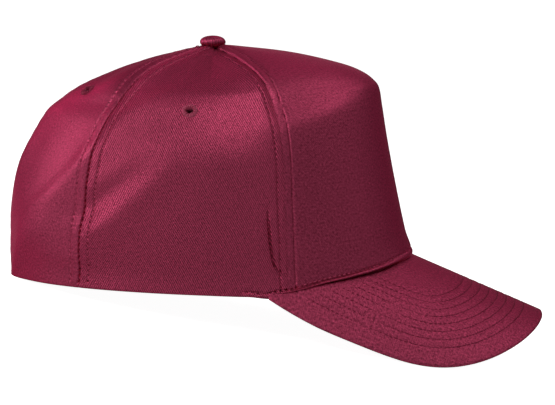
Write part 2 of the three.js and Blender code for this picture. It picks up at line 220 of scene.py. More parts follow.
def crown_normal(angle, up):
    around, rising = crown_slopes(angle, up)
    return unit(np.cross(around, rising))


# The peak's surface, by the distance along its ruling from its root and the distance to the side.

def root_lift(x, y):
    """Where the crown draws the peak up beside its stiff middle, fading away from the crown."""
    outside = (np.hypot(x / CROWN_FRONT, y / CROWN_HALF_WIDTH) - 1) * CROWN_HALF_WIDTH
    lift = spline(ROOT_LIFT[:, None], np.abs(y) / ROOT_LIFT_REACH)[..., 0]
    return lift * (1 - ease(outside, 0, ROOT_LIFT_FADE))


def peak_point(along, across, depth=0.0):
    along, across = np.broadcast_arrays(np.asarray(along, float), np.asarray(across, float))
    turn = np.arcsin(across / ARCH_HALF_WIDTH)
    fall = ARCH_DEPTH * (1 - np.cos(turn))
    cos, sin = math.cos(PEAK_SLOPE), math.sin(PEAK_SLOPE)
    upward = np.array([sin, 0, cos])
    sideways = np.array([0.0, 1.0, 0.0])
    normal = unit(upward * (ARCH_HALF_WIDTH * np.cos(turn))[..., None]
                  + sideways * (ARCH_DEPTH * np.sin(turn))[..., None])
    surface = (np.array([PEAK_ROOT_REACH, 0, PEAK_ROOT_HEIGHT])
               + np.array([cos, 0, -sin]) * along[..., None]
               - upward * fall[..., None] + sideways * across[..., None])
    surface[..., 2] += root_lift(surface[..., 0], surface[..., 1])
    return surface - normal * np.asarray(depth)[..., None]


def peak_height_at(x, y):
    share = np.minimum(np.abs(y) / ARCH_HALF_WIDTH, 0.9999)
    arch = ARCH_DEPTH * (1 - np.sqrt(1 - share ** 2))
    slope = (x - PEAK_ROOT_REACH) * math.tan(PEAK_SLOPE)
    return PEAK_ROOT_HEIGHT - slope - arch / math.cos(PEAK_SLOPE) + root_lift(x, y)


def ridge_distance(x, y):
    drop = peak_height_at(x, y) - root_lift(x, y) - PEAK_ROOT_HEIGHT
    return (x - PEAK_ROOT_REACH) * math.cos(PEAK_SLOPE) - drop * math.sin(PEAK_SLOPE)


def hem_gap(turn):
    """The dark gap between the hem and the peak, closed at the middle of the front."""
    opened = ease(turn, HEM_GAP_START, HEM_GAP_FULL)
    return PIECE_GAP + HEM_GAP * opened * (1 - ease(turn, PEAK_END - 0.05, PEAK_END))


def rim_height(angle, x, y):
    turn = np.abs(angle)
    over_peak = peak_height_at(x, y) + hem_gap(turn)
    share = np.clip((math.pi - turn) / (math.pi - PEAK_END), 0, 1)
    corner_x = CROWN_FRONT * math.cos(PEAK_END)
    corner_y = CROWN_HALF_WIDTH * math.sin(PEAK_END)
    corner = peak_height_at(corner_x, corner_y) + PIECE_GAP
    free = RIM_BACK_HEIGHT + (corner - RIM_BACK_HEIGHT) * share ** RIM_DIP_POWER
    blend = ease(turn, PEAK_END, PEAK_END + PEAK_END_FADE)
    return over_peak + (free - over_peak) * blend


def solve_rim():
    """The height share of the rim at each angle, by halving the range that holds it."""
    angles = np.radians(np.linspace(-180, 180, 1441))
    low, high = np.full(angles.shape, -0.2), np.full(angles.shape, 0.4)
    for _ in range(40):
        middle = (low + high) / 2
        at = crown(angles, middle)
        above = at[..., 2] > rim_height(angles, at[..., 0], at[..., 1])
        high = np.where(above, middle, high)
        low = np.where(above, low, middle)
    return angles, (low + high) / 2


RIM_ANGLES, RIM_UPS = solve_rim()


def rim_up(angle):
    return np.interp(angle, RIM_ANGLES, RIM_UPS)


# What sewing does to the crown: seams, their stitched allowances, the hem and the soft folds.

def seam_angle(seam, up):
    degrees, bow, _ = seam
    return np.radians(degrees + bow * np.sin(np.pi * np.clip(up, 0, 1)))


SEAMS = (
    (FRONT_SEAM, FRONT_SEAM_BOW, FRONT_STITCH_LINE),
    (-FRONT_SEAM, -FRONT_SEAM_BOW, FRONT_STITCH_LINE),
    (REAR_SEAM, REAR_SEAM_BOW, REAR_STITCH_LINE),
    (-REAR_SEAM, -REAR_SEAM_BOW, REAR_STITCH_LINE),
    (BACK_SEAM, 0.0, REAR_STITCH_LINE),
    (-BACK_SEAM, 0.0, REAR_STITCH_LINE),
)


def seam_offset(angle, up, seam):
    """Signed distance from a seam along the cloth, in millimetres, more than 0 on its +angle side."""
    around, rising = crown_slopes(angle, up)
    slope = np.radians(seam[1]) * np.pi * np.cos(np.pi * np.clip(up, 0, 1))
    tangent = unit(rising + around * slope[..., None])
    lean = norm(np.cross(around, tangent))
    return (angle - seam_angle(seam, up)) * lean


def seam_places(seam):
    """Distances along a seam from the rim, by height share."""
    foot = float(rim_up(seam_angle(seam, 0.05)))
    up = np.linspace(foot, 1, 600)
    return up, gone_along(crown(seam_angle(seam, up), up))


SEAM_PLACES = {seam[0]: seam_places(seam) for seam in SEAMS}
FIRST_PIT = STITCH_PITCH + STITCH_LENGTH / 2
SHOULDER_RISE = 0.1
VALLEY_DEPTH = 0.5
VALLEY_PULL = 1.5
REAR_BAND_RISE = 0.14


def needle_pits(along, first, pitch):
    """1 at each stitch's pit, 0 between."""
    return (0.5 + 0.5 * np.cos(2 * np.pi * (along - first) / pitch)) ** 2


def allowance(distance, line, rise, along):
    """The doubled cloth between a seam and its stitch line, then the stitch line's own pits."""
    band = rise * ease(distance, 0.3, 1.4) * (1 - ease(distance, line - 0.7, line + 0.5))
    pit = needle_pits(along, FIRST_PIT, STITCH_PITCH)
    groove = -(0.12 + 0.85 * pit) * bell(distance - line, 0.55)
    beside = ease(distance, line, line + 1.4) * (1 - ease(distance, line + 2, line + 9))
    return band + groove + SHOULDER_RISE * beside


# How far the front panel stands above the side panel, low down and further up, and how wide the slope
# of its edge is, low down and by how much less further up.
FRONT_STEP_LOW = 0.12
FRONT_STEP_GROWTH = 1.08
FRONT_EDGE_WIDTH = 3.9
FRONT_EDGE_NARROWING = 3.1


def front_seam_relief(rearward, up, along):
    """The stiffened front panel stands proud of the side panel, which slopes down to the seam."""
    distance = np.abs(rearward)
    high = ease(up, 0.22, 0.45)
    step = FRONT_STEP_LOW + FRONT_STEP_GROWTH * high
    edge_width = FRONT_EDGE_WIDTH - FRONT_EDGE_NARROWING * ease(up, 0.4, 0.65)
    front_edge = -step * (1 - ease(distance, -0.5, edge_width))
    side_slope = -step * np.clip(1 - distance / (FRONT_STITCH_LINE + 0.3), 0, 1)
    shape = np.where(rearward > 0, side_slope - 0.1 * bell(distance, 0.4), front_edge)
    rise = np.where(rearward > 0, 0.05, 0.15)
    total = allowance(distance, FRONT_STITCH_LINE, rise, along) + shape
    pucker = 0.08 * np.sin(along * 1.05 + rearward * 0.5) * bell(distance - 2, 2.2)
    return total + pucker * (1 - 0.6 * high)


def rear_seam_relief(offset, along):
    """A seam pressed open, pulled in between its slanting stitches."""
    distance = np.abs(offset)
    pull = 0.5 + 0.5 * np.cos(2 * np.pi * (along - 0.9 * offset) / SEAM_PULL_PITCH)
    valley = -(VALLEY_DEPTH + VALLEY_PULL * pull) * bell(distance, 0.4 + 0.2 * pull)
    pucker = np.sin(2 * np.pi * along / (2 * SEAM_PULL_PITCH) + offset * 0.4)
    pucker = 0.07 * pucker * bell(distance - 2.6, 2.4)
    return valley + allowance(distance, REAR_STITCH_LINE, REAR_BAND_RISE, along) + pucker


# Long folds: angle and height share at their start and end, half width, rise, depth of their valleys.
FOLDS = (
    (129, 0.22, 100, 0.52, 9.0, 1.5, 1.0),
    (168, 0.2, 128, 0.42, 12.0, -1.1, 0.0),
)

# Broad swells and hollows: angle, height, lean of their length in degrees, half length, half width,
# rise. Where they add up, their sum stays below the limit.
SWELL_LIMIT = 3.2
SWELLS = (
    (143, 43, 138, 72, 7, 2.45),
    (110, 99, 166, 80, 9, -2.47),
    (141, 5, 177, 40, 7, -2.60),
    (135, 44, 156, 64, 7, 1.62),
    (147, 4, 197, 38, 13, -2.25),
    (168, 69, 104, 24, 8, 1.00),
    (57, 93, 170, 52, 7, -2.56),
    (92, 65, 182, 46, 8, 1.51),
    (81, 59, 152, 37, 14, 1.25),
    (147, 72, 151, 37, 15, -2.86),
    (139, 61, 61, 69, 17, -1.19),
    (138, 30, 181, 43, 8, 1.06),
    (148, 33, 180, 20, 9, 1.63),
    (115, 33, 144, 33, 7, 2.30),
    (89, 6, 176, 80, 12, -2.30),
    (94, 5, 178, 64, 31, -1.28),
    (46, 101, 22, 80, 32, 0.81),
    (130, 99, 12, 37, 12, 2.93),
    (112, 92, 102, 55, 27, 0.77),
    (75, 72, 103, 49, 9, 0.81),
    (79, 86, 144, 17, 27, -0.45),
    (164, 46, 45, 64, 14, 0.43),
    (152, 72, 172, 28, 23, -0.60),
    (178, 106, 90, 34, 45, -0.90),
)


def swell_relief(angle, up):
    height = crown(angle, up)[..., 2]
    total = np.zeros(np.shape(height))
    for at_angle, at_height, lean, half_length, half_width, rise in SWELLS:
        gone_x = (np.abs(angle) - math.radians(at_angle)) * CROWN_MEAN_RADIUS
        gone_y = height - at_height
        cos, sin = math.cos(math.radians(lean)), math.sin(math.radians(lean))
        along = (gone_x * cos + gone_y * sin) / half_length
        across = (gone_y * cos - gone_x * sin) / half_width
        total += rise * np.exp(-along ** 2 - across ** 2)
    return SWELL_LIMIT * np.tanh(total / SWELL_LIMIT)


def fold_relief(angle, up):
    height = crown(angle, up)[..., 2]
    total = np.zeros(np.shape(height))
    for from_angle, from_up, to_angle, to_up, half_width, rise, valleys in FOLDS:
        start = np.array([math.radians(from_angle) * CROWN_MEAN_RADIUS, from_up * CROWN_HEIGHT])
        end = np.array([math.radians(to_angle) * CROWN_MEAN_RADIUS, to_up * CROWN_HEIGHT])
        length = np.linalg.norm(end - start)
        way = (end - start) / length
        gone_x = np.abs(angle) * CROWN_MEAN_RADIUS - start[0]
        gone_y = height - start[1]
        along = (gone_x * way[0] + gone_y * way[1]) / length
        across = (gone_y * way[0] - gone_x * way[1]) / half_width
        ends = np.exp(-(2 * along - 1) ** 4)
        total += rise * ends * (1 - 2 * valleys * across ** 2) * np.exp(-across ** 2)
    return total


# The hem's stitches, and how far its edge, roll, undercut and front flare reach.
HEM_PITCH = 2.9
HEM_LENGTH = 2.1
HEM_FIRST_PIT = (HEM_PITCH + HEM_LENGTH) / 2 + HEM_PITCH / 2
HEM_STITCH_END = math.radians(82)
HEM_ROUND = 1.2
HEM_EDGE_DROP = 0.8
HEM_ROLL = 1.25
HEM_UNDERCUT = 1.9
HEM_FLARE = 1.2


def hem_line(angle):
    """Height of the hem's stitch line above the rim."""
    return 2.3 + 1.1 * np.cos(angle) ** 2


def hem_places():
    """Distances along the hem's stitch line, by the angle round the crown."""
    turn = np.linspace(-HEM_STITCH_END, HEM_STITCH_END, 900)
    _, rising = crown_slopes(turn, rim_up(turn))
    up = rim_up(turn) + hem_line(turn) / norm(rising)
    return turn, up, gone_along(crown(turn, up))


HEM_TURNS, HEM_UPS, HEM_GONE = hem_places()


def hem_relief(angle, height):
    """The rolled hem, its stitch line, and the shadow gap that it leaves above the peak."""
    turn = np.abs(angle)
    over_peak = ease(PEAK_END - turn, -0.05, 0.1)
    rounding = np.clip(height / HEM_ROUND, 0, 1)
    edge = -HEM_EDGE_DROP * (1 - np.sqrt(1 - (1 - rounding) ** 2))
    line = hem_line(angle)
    fullness = 0.05 + 0.95 * ease(turn, math.radians(14), math.radians(42))
    roll = HEM_ROLL * fullness * np.sqrt(np.clip(1 - ((height - line / 2) / (line / 2)) ** 2, 0, 1))
    pit = needle_pits(np.interp(angle, HEM_TURNS, HEM_GONE), HEM_FIRST_PIT, HEM_PITCH)
    groove = -(0.3 + 1.2 * pit) * bell(height - line, 0.6)
    opened = 0.15 + 0.85 * ease(turn, math.radians(10), math.radians(30))
    undercut = -HEM_UNDERCUT * opened * (1 - ease(height, 0.45, 1.3))
    flare = HEM_FLARE * (1 - ease(height, 1, 14)) * (1 - ease(turn, 0.3, 0.65))
    sewn = ease(HEM_STITCH_END - turn, 0, 0.03)
    return edge * opened + flare + over_peak * (roll + undercut) + sewn * groove


# The crease behind the front seam's foot: height share, angle in degrees.
CREASE = np.array([
    (0.03, 67.2), (0.037, 69.1), (0.048, 71.3), (0.066, 72.2),
    (0.088, 72.8), (0.115, 73.1), (0.145, 73.2), (0.2, 73.4)])
CREASE_DEPTH = 1.7
CREASE_GATHERS = 0.1


def crease_relief(angle, up):
    """A short sharp fold behind the foot of the front seam, with the fuller cloth it gathers."""
    turn = np.abs(angle)
    at = np.interp(up, CREASE[:, 0], CREASE[:, 1])
    ahead = (at - np.degrees(turn)) * math.radians(CROWN_MEAN_RADIUS)
    shown = ease(up, 0.025, 0.05) * (1 - ease(up, 0.09, 0.16))
    fuller = ease(ahead, -0.7, 0.6) * bell(np.maximum(ahead, 0), 6.5)
    slit = -CREASE_DEPTH * bell(ahead + 0.3, 0.45)
    gathers = CREASE_GATHERS * np.sin(ahead * 1.1 + up * 230) * bell(ahead - 5, 4)
    return (fuller + slit) * shown + gathers * (1 - ease(up, 0.09, 0.2))


WAVE_HEIGHT = 0.07


def soft_waves(angle, up):
    """Slow unevenness of stiffened cloth, calmer on the front panel."""
    turn, rise = angle * 92, up * 150
    waves = (np.sin(turn / 13.0 + rise / 21.0 + 0.7)
             + 0.8 * np.sin(turn / 9.1 - rise / 12.3 + 2.1)
             + 0.5 * np.sin(turn / 5.7 + rise / 16.1 + 4.0))
    calm_front = 0.25 + 0.75 * ease(np.abs(angle), math.radians(60), math.radians(75))
    return WAVE_HEIGHT * waves * calm_front


def puff_relief(angle, up):
    """The side and back panels stand a little proud between their seams."""
    turn = np.abs(angle)
    front = seam_angle(SEAMS[0], up)
    rear = seam_angle(SEAMS[2], up)
    side_share = np.clip((turn - front) / (rear - front), 0, 1)
    back_share = np.clip((turn - rear) / (math.pi - rear), 0, 1)
    swell = np.where(turn > rear, np.sin(np.pi * back_share), np.sin(np.pi * side_share))
    return PANEL_PUFF * swell * np.sin(np.pi * np.clip(up, 0, 1))


def rim_distance(angle, up):
    _, rising = crown_slopes(angle, up)
    return (up - rim_up(angle)) * norm(rising)


def relief(angle, up):
    height = rim_distance(angle, up)
    total = puff_relief(angle, up) + fold_relief(angle, up) + soft_waves(angle, up)
    total += swell_relief(angle, up)
    total += hem_relief(angle, height) + crease_relief(angle, up)
    above_hem = ease(height, 1.5, 5)
    for seam in SEAMS:
        offset = seam_offset(angle, up, seam)
        along = np.interp(up, *SEAM_PLACES[seam[0]])
        if abs(seam[0]) == FRONT_SEAM:
            shape = front_seam_relief(offset * np.sign(seam[0]), up, along)
        else:
            shape = rear_seam_relief(offset, along)
        total += shape * (0.35 + 0.65 * above_hem)
    return total


def cloth_point(angle, up, lift=0.0):
    angle, up = np.broadcast_arrays(np.asarray(angle, float), np.asarray(up, float))
    return crown(angle, up) + crown_normal(angle, up) * (relief(angle, up) + lift)[..., None]


# Making objects.

def into_scene(made):
    bpy.context.scene.collection.objects.link(made)
    return made


def new_object(name, points, faces, uvs=None):
    """points: metres in the row frame; faces: index rows; uvs: one pair per corner of each face."""
    mesh = bpy.data.meshes.new(name)
    points = np.array(points, float)
    points[:, 2] = np.maximum(points[:, 2], FLOOR_CLEARANCE)
    quads = np.asarray(faces, np.int32)
    corners = quads.shape[1]
    mesh.vertices.add(len(points))
    mesh.vertices.foreach_set("co", points.astype(np.float32).ravel())
    mesh.loops.add(quads.size)
    mesh.loops.foreach_set("vertex_index", quads.ravel())
    mesh.polygons.add(len(quads))
    mesh.polygons.foreach_set("loop_start", np.arange(0, quads.size, corners, dtype=np.int32))
    mesh.polygons.foreach_set("use_smooth", np.ones(len(quads), bool))
    if uvs is not None:
        layer = mesh.uv_layers.new(name="cloth")
        layer.data.foreach_set("uv", np.asarray(uvs, np.float32).ravel())
    mesh.update(calc_edges=True)
    mesh.validate()
    return into_scene(bpy.data.objects.new(name, mesh))


def numbered(rows, columns):
    return np.arange(rows * columns).reshape(rows, columns)


def grid_faces(number):
    """Quads between the neighbours in a grid of point numbers."""
    corners = [number[:-1, :-1], number[:-1, 1:], number[1:, 1:], number[1:, :-1]]
    return np.stack(corners, -1).reshape(-1, 4)


def closed_rows(number):
    """A grid of point numbers whose rows run on to their own start."""
    return np.concatenate([number, number[:, :1]], 1)


def cap_faces(ring, turned):
    """Quads straight across a ring of point numbers, which close it."""
    k = np.arange(len(ring) // 2 - 1)
    quads = np.stack([ring[k], ring[k + 1], ring[-2 - k], ring[-1 - k]], -1)
    return quads[:, ::-1] if turned else quads


def tube_faces(number):
    """A tube of rings of points, closed at both ends."""
    return np.concatenate([grid_faces(closed_rows(number)),
                           cap_faces(number[0], True), cap_faces(number[-1], False)])


def finish_piece(made, material, node=None):
    made.data.materials.append(material)
    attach(made, "root")
    if node:
        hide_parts(node)


# The five panels.

# How far the close columns of points reach from a seam.
SEAM_BAND = 10.4
# Grid steps in millimetres: between columns in a panel's middle, beside its seams, and between rows.
FRONT_STEPS = {"middle": 0.85, "far": 0.8, "row": 1.05}
SIDE_STEPS = {"middle": 1.2, "far": 0.42, "row": 0.8}
# The closest rows of points, by their distance above the rim.
HEM_ROWS = np.array([
    0, 0.12, 0.3, 0.5, 0.75, 1.05, 1.4, 1.75, 2.1, 2.45, 2.8, 3.15, 3.5, 3.9, 4.4, 5.0, 5.8])
FLAT_CROWN_HEIGHT = 130


def panel_rows(middle_angle, row_step):
    """Shares from the rim to the top that lie evenly along the cloth, closer together at the hem."""
    shares = np.linspace(0, 1, 400)
    ups = rim_up(middle_angle) + (TOP_UP - rim_up(middle_angle)) * shares
    gone = gone_along(crown(np.full(shares.shape, middle_angle), ups))
    count = int((gone[-1] - HEM_ROWS[-1]) / row_step)
    wanted = np.concatenate([HEM_ROWS, np.linspace(HEM_ROWS[-1], gone[-1], count)[1:]])
    return np.interp(wanted, gone, shares)


def panel_place(seam_from, seam_to, across, share):
    """The angle and height share at a place in a panel."""
    up = share * TOP_UP
    for _ in range(4):
        start, end = seam_angle(seam_from, up), seam_angle(seam_to, up)
        angle = start + (end - start) * across
        foot = rim_up(angle)
        up = foot + (TOP_UP - foot) * share
    return angle, up


def band_columns(line, far_step):
    """Places of columns beside a seam, closest together at the seam and at its stitch line."""
    near = [0, 0.12, 0.26, 0.42, 0.62, 0.9, 1.3, 1.9, 2.6]
    close = list(np.arange(-0.9, 1.0, 0.22) + line)
    far = list(np.arange(line + 1.4, SEAM_BAND + 0.9, far_step))
    between = list(np.arange(3.2, line - 1.1, 0.6))
    return np.array(near + between + close + far)


def even_columns(width, widest, seam_from, seam_to, spacing):
    squeeze = min(1.0, 0.45 * width / SEAM_BAND)
    first = band_columns(seam_from[2], spacing["far"]) * squeeze
    last = width - band_columns(seam_to[2], spacing["far"])[::-1] * squeeze
    middle_count = int((widest - 2 * SEAM_BAND) / spacing["middle"])
    middle = np.linspace(first[-1], last[0], middle_count)
    return np.concatenate([first, middle[1:-1], last])


def panel_grid(seam_from, seam_to):
    spacing = FRONT_STEPS if seam_from[0] == -seam_to[0] else SIDE_STEPS
    shares = panel_rows(math.radians((seam_from[0] + seam_to[0]) / 2), spacing["row"])
    probe = np.linspace(0, 1, 121)
    angles, ups = panel_place(seam_from, seam_to, probe[None, :], shares[:, None])
    steps = norm(np.diff(crown(angles, ups), axis=1))
    gone = np.concatenate([np.zeros((len(shares), 1)), np.cumsum(steps, 1)], 1)
    widest = gone[:, -1].max()
    wanted = np.array([even_columns(row[-1], widest, seam_from, seam_to, spacing) for row in gone])
    across = np.array([np.interp(want, row, probe) for want, row in zip(wanted, gone)])
    angle, up = panel_place(seam_from, seam_to, across, shares[:, None])
    return angle, up, wanted - gone[:, -1:] / 2


def eyelet_cells(points, centre):
    """Marks the grid cells that an eyelet's hole takes out of a panel."""
    middle = (points[:-1, :-1] + points[1:, 1:]) / 2
    return norm(middle - centre) < EYELET_CUT_RADIUS


def hole_walls(open_cells, outer, inner):
    """Quads that join the outer and inner sheets round the cells taken out."""
    walls = []
    for r, c in np.argwhere(open_cells):
        corners = [(r, c), (r, c + 1), (r + 1, c + 1), (r + 1, c)]
        beyond = [(r - 1, c), (r, c + 1), (r + 1, c), (r, c - 1)]
        for k, (br, bc) in enumerate(beyond):
            if open_cells[br, bc]:
                continue
            a, b = corners[k], corners[(k + 1) % 4]
            walls.append((outer[b], outer[a], inner[a], inner[b]))
    return walls


def make_panel(node, seam_from, seam_to, material, eyelet_up=None):
    angle, up, from_middle = panel_grid(seam_from, seam_to)
    normal = crown_normal(angle, up)
    surface = crown(angle, up)
    raised = relief(angle, up)
    outside = surface + normal * raised[..., None]
    height = rim_distance(angle, up)
    inner_depth = WALL - 0.5 * (1 - np.clip(height / HEM_ROUND, 0, 1)) ** 2
    kept = np.minimum(raised, 0) * 0.8 + np.maximum(raised, 0)
    inside = surface + normal * (kept - inner_depth)[..., None]
    rows, columns = angle.shape
    count = rows * columns
    number = numbered(rows, columns)
    holes = np.zeros((rows - 1, columns - 1), bool)
    if eyelet_up:
        holes = eyelet_cells(surface, crown(*panel_middle(seam_from, seam_to, eyelet_up)))
    outer_faces = grid_faces(number)[~holes.ravel()]
    inner_faces = outer_faces[:, ::-1] + count
    loop = np.concatenate([number[0, :-1], number[:-1, -1], number[-1, :0:-1], number[:0:-1, 0]])
    after = np.roll(loop, -1)
    border = np.stack([after, loop, loop + count, after + count], -1)
    faces = [outer_faces, inner_faces, border]
    if holes.any():
        faces.append(np.array(hole_walls(holes, number, number + count)))
    faces = np.concatenate(faces)
    rise = np.concatenate([np.zeros((1, columns)),
                           np.cumsum(norm(np.diff(surface, axis=0)), 0)])
    flat = np.stack([from_middle, rise + up[:1] * FLAT_CROWN_HEIGHT], -1).reshape(-1, 2)
    flat = np.concatenate([flat, flat])
    points = to_row(np.concatenate([outside.reshape(-1, 3), inside.reshape(-1, 3)]))
    made = new_object(node + "_cloth", points, faces, flat[faces] / UV_MILLIMETRES)
    finish_piece(made, material, node)


def panel_middle(seam_from, seam_to, up):
    return (seam_angle(seam_from, up) + seam_angle(seam_to, up)) / 2, up


# Stitches: short raised threads whose ends dive into the cloth.

STITCH_RINGS = 6
STITCH_SIDES = 6
STITCH_FLATNESS = 0.8
STITCH_UNEVENNESS = 0.12


def stitch_mesh(starts, ends, normals, thickness, rise, sink):
    """Points and faces of many stitches, each an arched thread between a start and an end."""
    along = np.linspace(0, 1, STITCH_RINGS)
    girth = np.sqrt(np.clip(1 - (2 * along - 1) ** 4, 0.02, 1)) * thickness
    arch = -sink + (rise + sink) * (1 - (2 * along - 1) ** 4)
    uneven = np.sin(np.arange(len(starts)) * 12.9898) * STITCH_UNEVENNESS
    way = unit(ends - starts)
    side = unit(np.cross(normals, way))
    centre = (starts[:, None] + (ends - starts)[:, None] * along[:, None]
              + normals[:, None] * (arch[:, None] + uneven[:, None, None]))
    turn = np.linspace(0, 2 * np.pi, STITCH_SIDES, endpoint=False)
    ring = (side[:, None, None] * np.cos(turn)[:, None]
            + normals[:, None, None] * (STITCH_FLATNESS * np.sin(turn))[:, None])
    points = centre[:, :, None] + ring * girth[:, None, None]
    tube = tube_faces(numbered(STITCH_RINGS, STITCH_SIDES))
    firsts = np.arange(len(starts)) * STITCH_RINGS * STITCH_SIDES
    return points.reshape(-1, 3), (tube[None] + firsts[:, None, None]).reshape(-1, 4)


def walk(line, pitch, length):
    """Splits a polyline into stitches: start and end places as fractional positions along it."""
    gone = gone_along(line)
    starts = np.arange(pitch / 2, gone[-1] - length, pitch)
    steps = np.arange(len(line))
    return np.interp(starts, gone, steps), np.interp(starts + length, gone, steps)


CROWN_STITCH_RISE = 0.12
CROWN_STITCH_SINK = 0.4


def crown_line_stitches(angle, up, gone, pitch, length, lift, thickness):
    """Stitches on the crown along a line whose distances are given."""
    starts = np.arange(pitch / 2, gone[-1] - length, pitch)
    starts = starts[starts > gone[0]]

    def place(distance):
        return np.interp(distance, gone, angle), np.interp(distance, gone, up)
    first = cloth_point(*place(starts), lift)
    last = cloth_point(*place(starts + length), lift)
    normals = crown_normal(*place(starts + length / 2))
    return stitch_mesh(first, last, normals, thickness, CROWN_STITCH_RISE, CROWN_STITCH_SINK)


def join_stitches(name, groups, material):
    points, faces, start = [], [], 0
    for group_points, group_faces in groups:
        points.append(group_points)
        faces.append(group_faces + start)
        start += len(group_points)
    made = new_object(name, to_row(np.concatenate(points)), np.concatenate(faces))
    finish_piece(made, material)


SEAM_STITCH_TOP = 0.972
SEAM_STITCH_LIFT = 0.2
BUTTON_CLEARANCE = 8


def seam_line(seam, offset):
    """The angles and height shares of a line at a set distance beside a seam."""
    up = np.linspace(0, SEAM_STITCH_TOP, 500)
    foot = rim_up(seam_angle(seam, up[:1]))
    up = foot + (SEAM_STITCH_TOP - foot) * (up / SEAM_STITCH_TOP)
    centre = seam_angle(seam, up)
    step = 0.01
    per_radian = seam_offset(centre + step, up, seam) / step
    return centre + offset / per_radian, up


def seam_stitches(seam, lift):
    """Both rows of stitches beside a seam; each half of the back seam has the row on its own side."""
    groups = []
    for offset in (-seam[2], seam[2]):
        if abs(seam[0]) == BACK_SEAM and offset * seam[0] > 0:
            continue
        angle, up = seam_line(seam, offset)
        shown = norm(crown(angle, up)[:, :2]) > BUTTON_CLEARANCE
        gone = np.interp(up, *SEAM_PLACES[seam[0]])
        line = (angle[shown], up[shown], gone[shown])
        groups.append(crown_line_stitches(*line, STITCH_PITCH, STITCH_LENGTH, lift, STITCH_THICKNESS))
    return groups


HEM_STITCH_LIFT = 0.3
HEM_STITCH_THICKNESS = 0.28


def hem_stitches():
    line = (HEM_TURNS, HEM_UPS, HEM_GONE)
    return [crown_line_stitches(*line, HEM_PITCH, HEM_LENGTH, HEM_STITCH_LIFT, HEM_STITCH_THICKNESS)]


# The peak.

def peak_outline(count):
    """The peak's edge from its right corner round the tip to its left corner, as along and across."""
    belly = -PEAK_BELLY_SHARE * PEAK_LENGTH
    reach = PEAK_LENGTH - belly
    at = crown(np.array([PEAK_END]), rim_up(np.array([PEAK_END])))[0]
    corner_along, corner_across = float(ridge_distance(at[0], at[1])), float(at[1])
    turn = np.linspace(0, math.pi / 2, 600)
    front_along = belly + reach * np.cos(turn) ** (2 / PEAK_FRONT_POWER)
    front_across = PEAK_HALF_WIDTH * np.sin(turn) ** (2 / PEAK_SIDE_POWER)
    share = np.linspace(0, 1, 120)[1:]
    side_along = belly + (corner_along - belly) * share
    side_across = PEAK_HALF_WIDTH + (corner_across - PEAK_HALF_WIDTH) * share ** 2
    half = np.stack([np.concatenate([front_along, side_along]),
                     np.concatenate([front_across, side_across])], -1)
    whole = np.concatenate([half[::-1] * [1, -1], half[1:]])
    gone = gone_along(whole)
    wanted = np.linspace(0, gone[-1], count)
    return np.stack([np.interp(wanted, gone, whole[:, k]) for k in (0, 1)], -1)


def peak_root(count):
    """Where the peak's cloth ends, just inside the crown's wall."""
    turn = np.linspace(-PEAK_END, PEAK_END, count)
    up = rim_up(turn)
    at = crown(turn, up) - crown_normal(turn, up) * WALL
    return np.stack([ridge_distance(at[:, 0], at[:, 1]), at[:, 1]], -1)


def developed(flat):
    """Along and across on the cloth laid flat."""
    turn = np.arcsin(np.clip(flat[..., 1] / ARCH_HALF_WIDTH, -1, 1))
    return np.stack([flat[..., 0], turn * (ARCH_HALF_WIDTH + ARCH_DEPTH) / 2], -1)


EDGE_LINE = developed(peak_outline(900))
SPOTS_AT_ONCE = 4000


def edge_inset(flat):
    """How far each place on the cloth laid flat is inside the peak's edge, and how far along it."""
    shape = flat.shape[:-1]
    spots = developed(flat).reshape(-1, 2)
    gone = gone_along(EDGE_LINE)
    nearest, run = np.empty(len(spots)), np.empty(len(spots))
    for first in range(0, len(spots), SPOTS_AT_ONCE):
        part = slice(first, first + SPOTS_AT_ONCE)
        away = ((spots[part, None] - EDGE_LINE[None]) ** 2).sum(-1)
        nearest[part] = np.sqrt(away.min(1))
        run[part] = gone[away.argmin(1)]
    return nearest.reshape(shape), run.reshape(shape)


def row_depth(along):
    """How deep the peak's rows of stitches sink: less towards its root."""
    return 0.08 + 0.14 * ease(along, -5, 30)


def peak_relief(flat, inset):
    rows = PEAK_ROW_INSET + PEAK_ROW_SPACING * np.arange(PEAK_ROW_COUNT)
    depth = row_depth(flat[..., 0])
    total = np.zeros(inset.shape)
    for row in rows:
        total -= depth * bell(inset - row, 0.6)
    between = (inset - PEAK_ROW_INSET) / PEAK_ROW_SPACING
    last = PEAK_ROW_COUNT - 1
    inside = ease(between, -0.5, 0.2) * (1 - ease(between, last - 0.2, last + 0.5))
    total += 0.05 * inside * np.sin(np.pi * np.mod(between, 1)) ** 2
    return total


PEAK_COLUMNS = 300
PEAK_INNER_ROWS = 84
PEAK_ROW_CROWDING = 1.15
PEAK_THINNEST_CORNER = 0.12
PEAK_FULL_INSET = 14


def peak_depths(flat, inset):
    """How deep the peak's upper and lower faces lie below its smooth surface."""
    column = np.arange(PEAK_COLUMNS)
    corner = np.minimum(column, column[::-1]) / (PEAK_COLUMNS * PEAK_CORNER_SHARE)
    corner = np.clip(corner, PEAK_THINNEST_CORNER, 1)[:, None]
    fullness = ease(inset, 0, PEAK_FULL_INSET)
    thickness = PEAK_EDGE_THICKNESS + (PEAK_THICKNESS - PEAK_EDGE_THICKNESS) * fullness
    thickness = thickness * corner
    roundness = np.minimum(PEAK_EDGE_ROUND, thickness / 2)
    near = np.clip(inset / PEAK_EDGE_ROUND, 0, 1)
    rounded = roundness * (1 - np.sqrt(1 - (1 - near) ** 2))
    top_depth = rounded - peak_relief(flat, inset) * corner * ease(inset, 0.5, 2)
    return top_depth, thickness - rounded * 0.9


def both_faces(top, low):
    """Joins the rows of the peak's upper face to those of its lower face, turned about."""
    return np.concatenate([top, low[:, ::-1]], 1)


